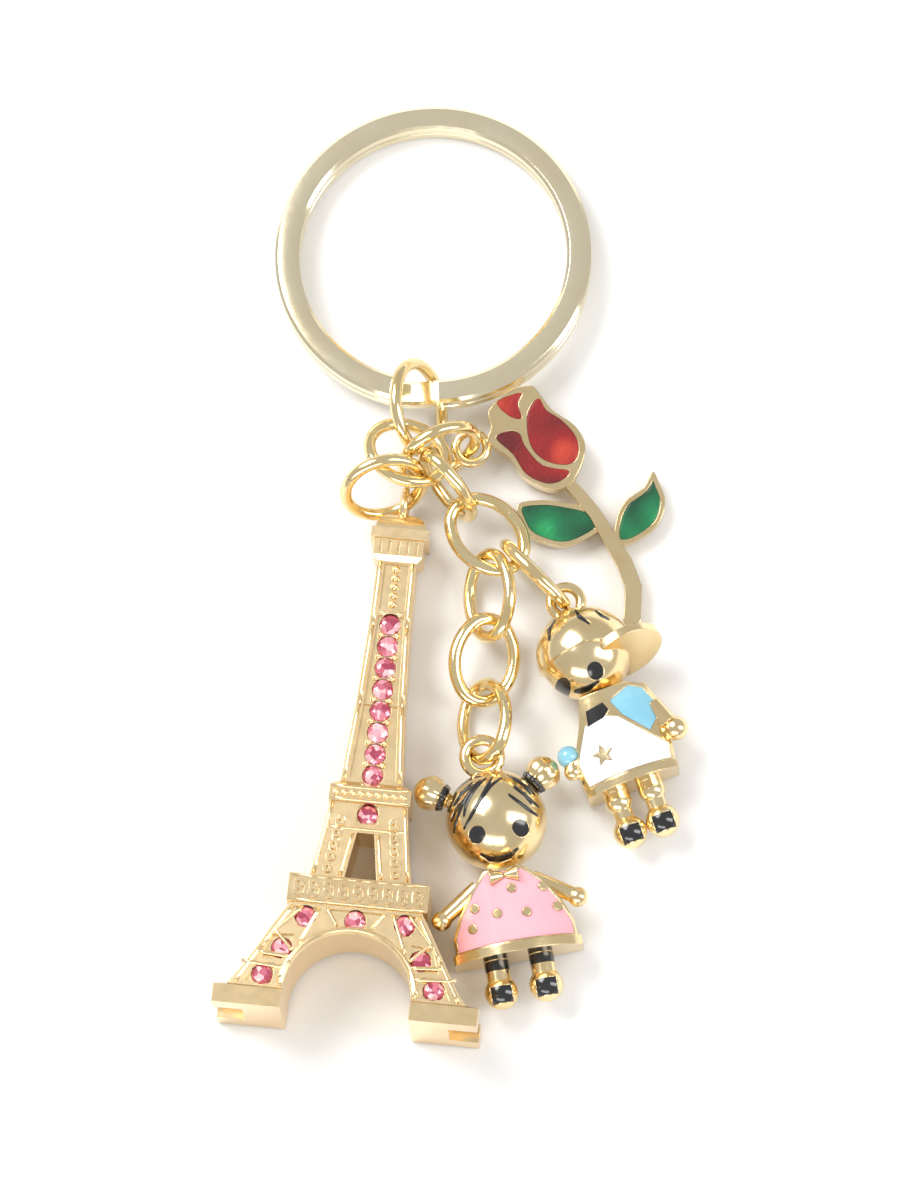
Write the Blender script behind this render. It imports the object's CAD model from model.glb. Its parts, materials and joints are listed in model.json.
import json
import math

import bmesh
import bpy
from mathutils import Matrix, Vector


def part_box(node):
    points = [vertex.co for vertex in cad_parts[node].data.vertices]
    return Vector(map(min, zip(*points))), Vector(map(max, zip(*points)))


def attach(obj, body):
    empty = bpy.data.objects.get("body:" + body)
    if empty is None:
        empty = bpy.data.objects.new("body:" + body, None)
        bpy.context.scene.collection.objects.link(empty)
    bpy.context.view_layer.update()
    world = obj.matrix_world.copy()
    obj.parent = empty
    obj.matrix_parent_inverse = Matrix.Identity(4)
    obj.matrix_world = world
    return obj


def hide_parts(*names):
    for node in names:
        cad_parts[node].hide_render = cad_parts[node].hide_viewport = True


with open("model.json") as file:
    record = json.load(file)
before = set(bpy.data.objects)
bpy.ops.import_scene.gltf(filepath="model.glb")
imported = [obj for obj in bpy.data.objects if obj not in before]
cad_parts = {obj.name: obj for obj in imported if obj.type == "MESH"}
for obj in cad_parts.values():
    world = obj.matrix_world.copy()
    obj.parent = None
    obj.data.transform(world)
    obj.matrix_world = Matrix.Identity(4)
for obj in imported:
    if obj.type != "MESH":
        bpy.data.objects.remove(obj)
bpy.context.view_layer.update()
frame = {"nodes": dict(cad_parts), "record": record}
NODES = frame["nodes"]
BODY_OF = {node: body
           for body, nodes in frame["record"]["behaviour"]["bodies"].items() for node in nodes}
SLOT_OF = {row["node"]: row["material_slot"] for row in frame["record"]["subparts"]}

MM = 0.001
TABLE_Z = -2.5 * MM

WELD = 0.002 * MM               # corners nearer than this become one
SLIVER = 0.0005 * MM            # edges shorter than this go
SMOOTH_BELOW = math.radians(32)  # edges that bend less than this shade smoothly
ROSE_EDGE = 0.22 * MM           # the rounding of the rose's rims


# ---- material helpers -------------------------------------------------------
def node_material(name):
    mat = bpy.data.materials.new(name)
    mat.use_nodes = True
    tree = mat.node_tree
    return mat, tree, tree.nodes["Principled BSDF"]


def place_noise(tree, scale, detail=3.0, rough=0.5, kind="ShaderNodeTexNoise"):
    """A texture in the object's own space; scale is in cycles per millimetre."""
    coords = tree.nodes.new("ShaderNodeTexCoord")
    mapping = tree.nodes.new("ShaderNodeMapping")
    mapping.inputs["Scale"].default_value = [1 / MM] * 3
    tex = tree.nodes.new(kind)
    tex.inputs["Scale"].default_value = scale
    if kind == "ShaderNodeTexNoise":
        tex.inputs["Detail"].default_value = detail
        tex.inputs["Roughness"].default_value = rough
    tree.links.new(coords.outputs["Object"], mapping.inputs["Vector"])
    tree.links.new(mapping.outputs["Vector"], tex.inputs["Vector"])
    return tex


def ramp(tree, source, stops):
    """Colours spread over a texture's values; each stop is a value and its colour."""
    node = tree.nodes.new("ShaderNodeValToRGB")
    points = node.color_ramp.elements
    while len(points) < len(stops):
        points.new(0.5)
    for point, (at, color) in zip(points, stops):
        point.position = at
        point.color = (*color, 1)
    tree.links.new(source, node.inputs["Fac"])
    return node.outputs["Color"]


def grey(v):
    return (v, v, v)


def rounded(tree, radius):
    """Normals that round off hard edges, so that they catch a highlight."""
    node = tree.nodes.new("ShaderNodeBevel")
    node.samples = 4
    node.inputs["Radius"].default_value = radius
    return node.outputs["Normal"]


def bump(tree, height, depth, strength, normal=None):
    """Small relief over a surface, depth deep in metres."""
    node = tree.nodes.new("ShaderNodeBump")
    node.inputs["Strength"].default_value = strength
    node.inputs["Distance"].default_value = depth
    tree.links.new(height, node.inputs["Height"])
    if normal is not None:
        tree.links.new(normal, node.inputs["Normal"])
    return node.outputs["Normal"]


def gold(name, deep, light, rough, grain, grain_depth, edge):
    """Plated metal: colour drifts a little, polish varies, and the surface is never quite even."""
    mat, tree, shader = node_material(name)
    shader.inputs["Metallic"].default_value = 1.0
    drift = place_noise(tree, 0.25, 2)
    tree.links.new(ramp(tree, drift.outputs["Fac"], [(0.3, deep), (0.7, light)]),
                   shader.inputs["Base Color"])
    wear = place_noise(tree, 1.1, 5, 0.6)
    tree.links.new(ramp(tree, wear.outputs["Fac"],
                        [(0.3, grey(rough * 0.85)), (0.75, grey(rough * 1.15))]),
                   shader.inputs["Roughness"])
    fine = place_noise(tree, grain, 4, 0.6)
    tree.links.new(bump(tree, fine.outputs["Fac"], grain_depth, 0.5, rounded(tree, edge)),
                   shader.inputs["Normal"])
    return mat


def enamel(name, dark, light, rough=0.12, wave_depth=0.02 * MM):
    """Opaque fused enamel: slightly uneven colour under a clear glossy skin."""
    mat, tree, shader = node_material(name)
    drift = place_noise(tree, 0.5, 3)
    tree.links.new(ramp(tree, drift.outputs["Fac"], [(0.3, dark), (0.7, light)]),
                   shader.inputs["Base Color"])
    shader.inputs["Roughness"].default_value = rough
    shader.inputs["Coat Weight"].default_value = 0.6
    shader.inputs["Coat Roughness"].default_value = 0.04
    waves = place_noise(tree, 0.45, 2)
    tree.links.new(bump(tree, waves.outputs["Fac"], wave_depth, 0.7, rounded(tree, 0.12 * MM)),
                   shader.inputs["Normal"])
    return mat


def glass_enamel(name, deep, mid, glow):
    """See-through enamel over textured metal: it glows where it is thin, under a clear skin."""
    mat, tree, shader = node_material(name)
    drift = place_noise(tree, 0.2, 1)
    tree.links.new(ramp(tree, drift.outputs["Fac"], [(0.34, deep), (0.55, mid), (0.74, glow)]),
                   shader.inputs["Base Color"])
    shader.inputs["Metallic"].default_value = 0.35
    shader.inputs["Roughness"].default_value = 0.3
    shader.inputs["Coat Weight"].default_value = 1.0
    shader.inputs["Coat Roughness"].default_value = 0.03
    texture = place_noise(tree, 2.2, 3)
    tree.links.new(bump(tree, texture.outputs["Fac"], 0.1 * MM, 0.7), shader.inputs["Normal"])
    waves = place_noise(tree, 0.4, 2)
    tree.links.new(bump(tree, waves.outputs["Fac"], 0.08 * MM, 0.8, rounded(tree, 0.3 * MM)),
                   shader.inputs["Coat Normal"])
    return mat


def stone_material(name):
    """Cut pink glass with a foil back: each facet is a little lighter or darker."""
    mat, tree, shader = node_material(name)
    facets = place_noise(tree, 1.6, kind="ShaderNodeTexVoronoi")
    split = tree.nodes.new("ShaderNodeSeparateColor")
    tree.links.new(facets.outputs["Color"], split.inputs["Color"])
    tree.links.new(ramp(tree, split.outputs["Red"],
                        [(0.15, (0.42, 0.05, 0.10)), (0.6, (0.76, 0.20, 0.28)),
                         (0.9, (0.96, 0.62, 0.66))]), shader.inputs["Base Color"])
    shader.inputs["Metallic"].default_value = 0.35
    shader.inputs["Roughness"].default_value = 0.08
    shader.inputs["IOR"].default_value = 1.6
    shader.inputs["Coat Weight"].default_value = 1.0
    shader.inputs["Coat Roughness"].default_value = 0.02
    return mat


MATERIALS = {
    "pale_gold_plate": gold("pale_gold_plate", (0.94, 0.82, 0.56), (0.97, 0.87, 0.64), 0.13, 0.8,
                            0.01 * MM, 0.06 * MM),
    "gold_wire": gold("gold_wire", (0.88, 0.68, 0.33), (0.94, 0.77, 0.45), 0.14, 1.2,
                      0.015 * MM, 0.05 * MM),
    "gold_casting": gold("gold_casting", (0.87, 0.66, 0.34), (0.94, 0.77, 0.47), 0.17, 1.4,
                         0.02 * MM, 0.14 * MM),
    "satin_gold_casting": gold("satin_gold_casting", (0.91, 0.68, 0.37), (0.95, 0.74, 0.44), 0.24,
                               5.0, 0.004 * MM, 0.04 * MM),
    "pink_rhinestone": stone_material("pink_rhinestone"),
    "pink_enamel": enamel("pink_enamel", (0.89, 0.41, 0.47), (0.91, 0.44, 0.50)),
    "white_enamel": enamel("white_enamel", (0.84, 0.83, 0.80), (0.90, 0.89, 0.87)),
    "blue_enamel": enamel("blue_enamel", (0.20, 0.49, 0.64), (0.27, 0.57, 0.70)),
    "red_enamel": glass_enamel("red_enamel", (0.13, 0.003, 0.004), (0.32, 0.008, 0.008),
                               (0.68, 0.07, 0.03)),
    "green_enamel": glass_enamel("green_enamel", (0.0, 0.07, 0.025), (0.003, 0.19, 0.065),
                                 (0.02, 0.48, 0.14)),
    "black_enamel": enamel("black_enamel", (0.006, 0.006, 0.007), (0.014, 0.014, 0.015), 0.16),
}


# ---- pieces ------------------------------------------------------------------
def add_piece(name, mesh, node, mat, replaces=True):
    """Puts a piece on the node's body, in the node's place or as an addition to it."""
    obj = bpy.data.objects.new(name, mesh)
    bpy.context.scene.collection.objects.link(obj)
    obj.data.materials.clear()
    obj.data.materials.append(mat)
    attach(obj, BODY_OF[node])
    if replaces:
        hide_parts(node)
    return obj


def finished(work, name, place=None):
    """The mesh of a built form, moved to its place."""
    if place is not None:
        work.transform(place)
    mesh = bpy.data.meshes.new(name)
    work.to_mesh(mesh)
    work.free()
    return mesh


def around(count):
    """Angles spaced evenly round a full turn."""
    return [2 * math.pi * k / count for k in range(count)]


def join_rows(work, rows, closed=False):
    """Walls from each row of corners to the next. An open run gets a cap at each end."""
    count = len(rows[0])
    for low, high in list(zip(rows, rows[1:])) + ([(rows[-1], rows[0])] if closed else []):
        for i in range(count):
            k = (i + 1) % count
            work.faces.new((low[i], low[k], high[k], high[i]))
    if not closed:
        work.faces.new(rows[0][::-1])
        work.faces.new(rows[-1])


def shade_walls(work):
    """Faces outwards, with smooth walls and flat caps."""
    bmesh.ops.recalc_face_normals(work, faces=work.faces)
    for face in work.faces:
        face.smooth = len(face.verts) == 4


def smoothed(node):
    """The node's own surface, welded and with smooth normals away from its hard edges."""
    work = bmesh.new()
    work.from_mesh(NODES[node].data)
    bmesh.ops.remove_doubles(work, verts=work.verts, dist=WELD)
    bmesh.ops.dissolve_degenerate(work, edges=work.edges, dist=SLIVER)
    for face in work.faces:
        face.smooth = True
    for edge in work.edges:
        edge.smooth = len(edge.link_faces) == 2 and edge.calc_face_angle(0) < SMOOTH_BELOW
    name = node + "_skin"
    return add_piece(name, finished(work, name), node, MATERIALS[SLOT_OF[node]])


def round_edges(obj, width):
    """Rounds every sharp edge of a piece."""
    soften = obj.modifiers.new("rounded_edges", "BEVEL")
    soften.width = width
    soften.segments = 3
    soften.limit_method = "ANGLE"
    soften.angle_limit = math.radians(50)
    soften.harden_normals = False


for node in NODES:
    if "stone" not in node and node != "girl_bun_enamel":
        skin = smoothed(node)
        if node == "rose":
            round_edges(skin, ROSE_EDGE)


# ---- the girl's pigtails: places in millimetres from the middle of her loop ---
GIRL_PLACE = (Matrix.Translation((4.6 * MM, -48.6 * MM, 1.2 * MM))
              @ Matrix.Rotation(math.radians(10), 4, "Z") @ Matrix.Scale(MM, 4))
HEAD = Vector((0.25, -6.15, 0))
HEAD_RADIUS = 4.7
BUN_X, BUN_Y = 5.3, -2.5
PIGTAIL_RIBS, RIB_DEPTH = 8, 0.05
TURNED_SIDES = 56


def turned(name, node, along, profile, mat, replaces):
    """A closed ribbed form turned round an axis from the middle of the head."""
    across = along.cross(Vector((0, 0, 1))).normalized()
    work = bmesh.new()
    rings = []
    for t, radius in profile:
        row = []
        for angle in around(TURNED_SIDES):
            r = radius * (1 + RIB_DEPTH * math.cos(PIGTAIL_RIBS * angle))
            row.append(work.verts.new(HEAD + along * t + across * r * math.cos(angle)
                                      + Vector((0, 0, r * math.sin(angle)))))
        rings.append(row)
    join_rows(work, rings)
    shade_walls(work)
    return add_piece(name, finished(work, name, GIRL_PLACE), node, mat, replaces)


HAIR_LINE_WIDTH, HAIR_LINE_HEIGHT = 0.42, 0.1
HAIR_LINE_STEPS, HAIR_LINE_SIDES = 24, 10
HAIR_LEAN = math.radians(13)    # the lines' points are seen from this much below


def painted_line(name, points):
    """A raised black line over the girl's head, tapered at both ends. Points are across and up
    from the middle of the head."""
    up = Vector((0, math.cos(HAIR_LEAN), math.sin(HAIR_LEAN)))
    out = Vector((0, -math.sin(HAIR_LEAN), math.cos(HAIR_LEAN)))
    centre = GIRL_PLACE @ HEAD
    a, b, c = (Vector(p) for p in points)
    path = []
    for i in range(HAIR_LINE_STEPS + 1):
        t = i / HAIR_LINE_STEPS
        p = a * (1 - t) ** 2 + (b * 2 - (a + c) / 2) * 2 * t * (1 - t) + c * t * t
        depth = math.sqrt(max(HEAD_RADIUS ** 2 - p.length_squared, 0.05))
        path.append(Vector((p.x, 0, 0)) + up * p.y + out * depth)
    work = bmesh.new()
    rows = []
    for i, place in enumerate(path):
        ahead = (path[min(i + 1, HAIR_LINE_STEPS)] - path[max(i - 1, 0)]).normalized()
        normal = place.normalized()
        aside = ahead.cross(normal)
        along = min(max(i / HAIR_LINE_STEPS, 0.04), 0.96)
        taper = 0.35 + 0.65 * math.sin(math.pi * along) ** 0.5
        rows.append([work.verts.new(centre + MM * (
            place + aside * math.cos(u) * HAIR_LINE_WIDTH / 2 * taper
            + normal * math.sin(u) * HAIR_LINE_HEIGHT)) for u in around(HAIR_LINE_SIDES)])
    join_rows(work, rows)
    shade_walls(work)
    piece = add_piece(name, finished(work, name), "girl", MATERIALS["black_enamel"], False)


HAIR_LINES = [
    ((-0.3, 4.1), (-1.5, 1.9), (-2.9, -0.6)),
    ((-0.9, 4.0), (-2.3, 2.4), (-2.9, 0.5)),
    ((-1.4, 3.8), (-2.9, 1.9), (-3.9, -1.0)),
    ((-2.1, 3.6), (-3.1, 2.6), (-3.8, 1.4)),
    ((1.2, 2.6), (2.5, 1.6), (3.9, 0.5)),
    ((1.7, 3.2), (2.8, 2.4), (4.0, 1.3)),
    ((1.6, 3.9), (2.8, 3.3), (3.6, 2.4)),
]
for number, points in enumerate(HAIR_LINES, 1):
    painted_line(f"hair_line_{number}", points)

for side, word in ((-1, "left"), (1, "right")):
    along = Vector((side * BUN_X, BUN_Y, 0)) - HEAD
    reach = along.length
    along.normalize()
    puff = [(reach - 1.95, 0.62), (reach - 1.5, 0.85), (reach - 1.1, 1.15), (reach - 0.6, 1.45),
            (reach, 1.62), (reach + 0.6, 1.5), (reach + 1.1, 1.1), (reach + 1.4, 0.7),
            (reach + 1.55, 0.25)]
    puffed = turned("pigtail_" + word, "girl", along, puff, MATERIALS["gold_casting"], False)
    band = [(reach - 1.6, 0.9), (reach - 1.55, 1.12), (reach - 1.3, 1.22), (reach - 1.05, 1.32),
            (reach - 1.0, 1.1)]
    turned("hair_tie_" + word, "girl_bun_enamel", along, band, MATERIALS["black_enamel"], True)


# ---- stones ------------------------------------------------------------------
TOWER_TURN = (Matrix.Rotation(math.radians(-6), 4, "Z")
              @ Matrix.Rotation(math.radians(-2.8), 4, "X"))
SIDES = 8                       # of each stone's table; its girdle has twice as many
STONE_TURN = 0.7                # each stone is turned this much, in radians, past the last


def ring(work, radius, height, count, phase):
    """Corners round a level circle, shifted by phase of a step."""
    return [work.verts.new((radius * math.cos(2 * math.pi * (i + phase) / count),
                            radius * math.sin(2 * math.pi * (i + phase) / count), height))
            for i in range(count)]


def cut_stone(node, index):
    """A round brilliant: table, star, kite and girdle facets over a short pavilion."""
    low, high = (Vector(c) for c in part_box(node))
    middle = (low + high) / 2
    radius = min(high.x - low.x, high.y - low.y) / 2 * 0.97
    top = (high.z - low.z) / 2 * 0.93
    work = bmesh.new()
    table = ring(work, radius * 0.52, top, SIDES, 0)
    star = ring(work, radius * 0.78, top * 0.72, SIDES, 0.5)
    girdle = ring(work, radius, top * 0.25, SIDES * 2, 0)
    base = ring(work, radius, top * 0.05, SIDES * 2, 0)
    foot = ring(work, radius * 0.5, -top * 0.9, SIDES * 2, 0)
    work.faces.new(table)
    for i in range(SIDES):
        k = (i + 1) % SIDES
        work.faces.new((table[i], star[i], table[k]))
        work.faces.new((table[k], star[i], girdle[2 * k]))
        work.faces.new((table[k], girdle[2 * k], star[k]))
        work.faces.new((star[i], girdle[2 * i + 1], girdle[2 * k]))
        work.faces.new((star[i], girdle[2 * i], girdle[2 * i + 1]))
    for upper, lower in ((girdle, base), (base, foot)):
        for i in range(2 * SIDES):
            k = (i + 1) % (2 * SIDES)
            work.faces.new((upper[i], lower[i], lower[k], upper[k]))
    work.faces.new(foot)
    bmesh.ops.recalc_face_normals(work, faces=work.faces)
    turn = Matrix.Rotation(index * STONE_TURN, 4, "Z")
    name = node + "_cut"
    mesh = finished(work, name, Matrix.Translation(middle) @ TOWER_TURN @ turn)
    return add_piece(name, mesh, node, MATERIALS["pink_rhinestone"])


for number, node in enumerate(sorted(n for n in NODES if "stone" in n)):
    cut_stone(node, number)


# ---- the tower's raised lattice: places in millimetres, across and up from its foot ----
TOWER_PLACE = Matrix.Translation((-7.9 * MM, -73.9 * MM, 2.6 * MM)) @ TOWER_TURN
# Height and how far the front stands out there
FRONT = [(0, 5), (1.7, 5), (1.9, 4.6), (5.8, 4.2), (10.2, 3.8), (10.3, 4.1), (12.9, 4.1),
         (13, 3.3), (20.3, 2.6), (20.4, 2.9), (21.9, 2.9), (22.4, 2.3), (30, 2), (37.7, 1.75),
         (44, 1.7), (44.5, 2.1), (46, 2.1), (50, 2.1)]


def front_at(height):
    """How far the tower's front stands out at a height."""
    for (low, a), (high, b) in zip(FRONT, FRONT[1:]):
        if low <= height <= high:
            return a + (b - a) * (height - low) / (high - low)
    return FRONT[-1][1]


BAR_SIDES, BAR_SUNK = 8, 0.08


def raised_bar(work, line, radius, closed=False):
    """A half-sunk round bar that follows the tower's front."""
    spots = [Vector((x, y, front_at(y) - BAR_SUNK)) for x, y in line]
    count = len(spots)
    rows = []
    for i, spot in enumerate(spots):
        before = spots[i - 1] if i or closed else spot
        after = spots[(i + 1) % count] if i < count - 1 or closed else spot
        ahead = (after - before).normalized()
        aside = ahead.cross(Vector((0, 0, 1))).normalized()
        rows.append([work.verts.new(spot + aside * radius * math.cos(u)
                                    + Vector((0, 0, radius * math.sin(u))))
                     for u in around(BAR_SIDES)])
    join_rows(work, rows, closed)


def between(a, b, steps=6):
    """Evenly spaced points on a straight line."""
    return [(a[0] + (b[0] - a[0]) * i / steps, a[1] + (b[1] - a[1]) * i / steps)
            for i in range(steps + 1)]


def arc(x, y, radius, degrees):
    """Points on a circle at the given angles."""
    return [(x + radius * math.cos(math.radians(a)), y + radius * math.sin(math.radians(a)))
            for a in degrees]


LEG_BAR, LEVEL_BAR, ARCH_BAR, OVAL_BAR, RING_BAR = 0.2, 0.16, 0.24, 0.12, 0.11
ARCH_RIM, ARCH_Y = 6.35, 1.8
OVAL_STEP, OVAL_RADIUS, OVAL_HALF_LENGTH, OVAL_Y = 1.36, 0.42, 0.3, 11.6
RING_RADIUS, RING_X, RING_Y = 0.34, 3.15, 13.9
RING_RISE, RING_LEAN = 0.98, 0.15

# Ends of the braces on the right; the left mirrors them
BRACES = [((10.3, 2.1), (8.2, 5.8)), ((8.2, 5.8), (5.8, 9.9)), ((6.2, 2.1), (5.6, 4.7)),
          ((9.9, 4.2), (5.9, 3.9)), ((8.5, 5.2), (5.6, 5.0)), ((7.5, 7.0), (4.9, 9.9)),
          ((5.4, 5.6), (7.2, 7.4)), ((4.9, 6.3), (3.4, 9.9)), ((1.7, 8.4), (2.7, 9.9)),
          ((4.35, 13.2), (3.35, 20.2)), ((1.9, 13.2), (1.2, 17.4)),
          ((2.6, 22.6), (2.0, 30)), ((2.0, 30), (1.6, 37.7)), ((1.6, 37.7), (1.5, 43.9))]
# Height and half width of the level bars
LEVELS = [(10.45, 6.3), (12.75, 6.3), (17.9, 3.7), (20.6, 3.6), (21.8, 3.6)]

lattice = bmesh.new()
for side in (-1, 1):
    for a, b in BRACES:
        raised_bar(lattice, between((side * a[0], a[1]), (side * b[0], b[1])), LEG_BAR)
for height, half_width in LEVELS:
    raised_bar(lattice, between((-half_width, height), (half_width, height)), LEVEL_BAR)
raised_bar(lattice, arc(0, ARCH_Y, ARCH_RIM, range(4, 177, 6)), ARCH_BAR)
for k in range(-4, 5):
    oval = []
    for angle in around(20):
        end = OVAL_HALF_LENGTH if math.sin(angle) > 0 else -OVAL_HALF_LENGTH
        oval.append((k * OVAL_STEP + OVAL_RADIUS * math.cos(angle),
                     OVAL_Y + OVAL_RADIUS * math.sin(angle) + end))
    raised_bar(lattice, oval, OVAL_BAR, closed=True)
for side in (-1, 1):
    for k in range(6):
        raised_bar(lattice, arc(side * (RING_X - k * RING_LEAN), RING_Y + k * RING_RISE,
                                RING_RADIUS, range(0, 360, 30)), RING_BAR, closed=True)
shade_walls(lattice)
lattice_mesh = finished(lattice, "tower_lattice", TOWER_PLACE @ Matrix.Scale(MM, 4))
SATIN = MATERIALS["satin_gold_casting"]
add_piece("tower_lattice", lattice_mesh, "tower", SATIN, False)


# ---- floor, light and camera -------------------------------------------------
def floor_material():
    """Plain pale paper, very slightly uneven."""
    mat, tree, shader = node_material("pale_floor")
    drift = place_noise(tree, 0.02, 2)
    tree.links.new(ramp(tree, drift.outputs["Fac"], [(0.3, grey(0.84)), (0.7, grey(0.86))]),
                   shader.inputs["Base Color"])
    shader.inputs["Roughness"].default_value = 0.9
    shader.inputs["Specular IOR Level"].default_value = 0.1
    return mat


FLOOR_HALF = 0.6
floor_mesh = bpy.data.meshes.new("floor")
floor_mesh.from_pydata([(x * FLOOR_HALF, y * FLOOR_HALF, TABLE_Z)
                        for x, y in ((-1, -1), (1, -1), (1, 1), (-1, 1))], [], [(0, 1, 2, 3)])
floor = bpy.data.objects.new("floor", floor_mesh)
bpy.context.scene.collection.objects.link(floor)
floor_mesh.materials.append(floor_material())

MIDDLE = Vector((1.48 * MM, -32.77 * MM, TABLE_Z))


def softbox(name, place, size, power):
    """A soft rectangular light that faces the middle of the keychain."""
    data = bpy.data.lights.new(name, "AREA")
    data.shape = "RECTANGLE"
    data.size, data.size_y = size
    data.energy = power
    obj = bpy.data.objects.new(name, data)
    bpy.context.scene.collection.objects.link(obj)
    obj.location = MIDDLE + Vector(place)
    obj.rotation_euler = (-Vector(place)).to_track_quat("-Z", "Y").to_euler()


softbox("key_light", (-0.28, 0.22, 0.42), (0.30, 0.30), 2.6)
softbox("fill_light", (0.40, -0.05, 0.34), (0.16, 0.40), 1.2)
softbox("front_light", (-0.05, -0.42, 0.25), (0.40, 0.12), 0.8)

WORLD_STRENGTH = 0.58
world = bpy.data.worlds.new("studio")
world.use_nodes = True
world.node_tree.nodes["Background"].inputs["Color"].default_value = (1, 1, 1, 1)
world.node_tree.nodes["Background"].inputs["Strength"].default_value = WORLD_STRENGTH
bpy.context.scene.world = world
bpy.context.scene.view_settings.view_transform = "Standard"

TILT, SIDE, DISTANCE = math.radians(13), math.radians(2), 600 * MM
LENS, SENSOR_WIDTH = 191.2, 36
toward = Vector((math.sin(SIDE), -math.sin(TILT), 1)).normalized()
camera_data = bpy.data.cameras.new("camera")
camera_data.lens = LENS
camera_data.sensor_width = SENSOR_WIDTH
camera_data.sensor_fit = "AUTO"
camera_data.dof.use_dof = False
camera_data.clip_start, camera_data.clip_end = 0.01, 10
camera = bpy.data.objects.new("camera", camera_data)
bpy.context.scene.collection.objects.link(camera)
camera.location = MIDDLE + toward * DISTANCE
right = Vector((0, 1, 0)).cross(toward).normalized()
upward = toward.cross(right)
camera.rotation_euler = Matrix((right, upward, toward)).transposed().to_euler()
bpy.context.scene.camera = camera
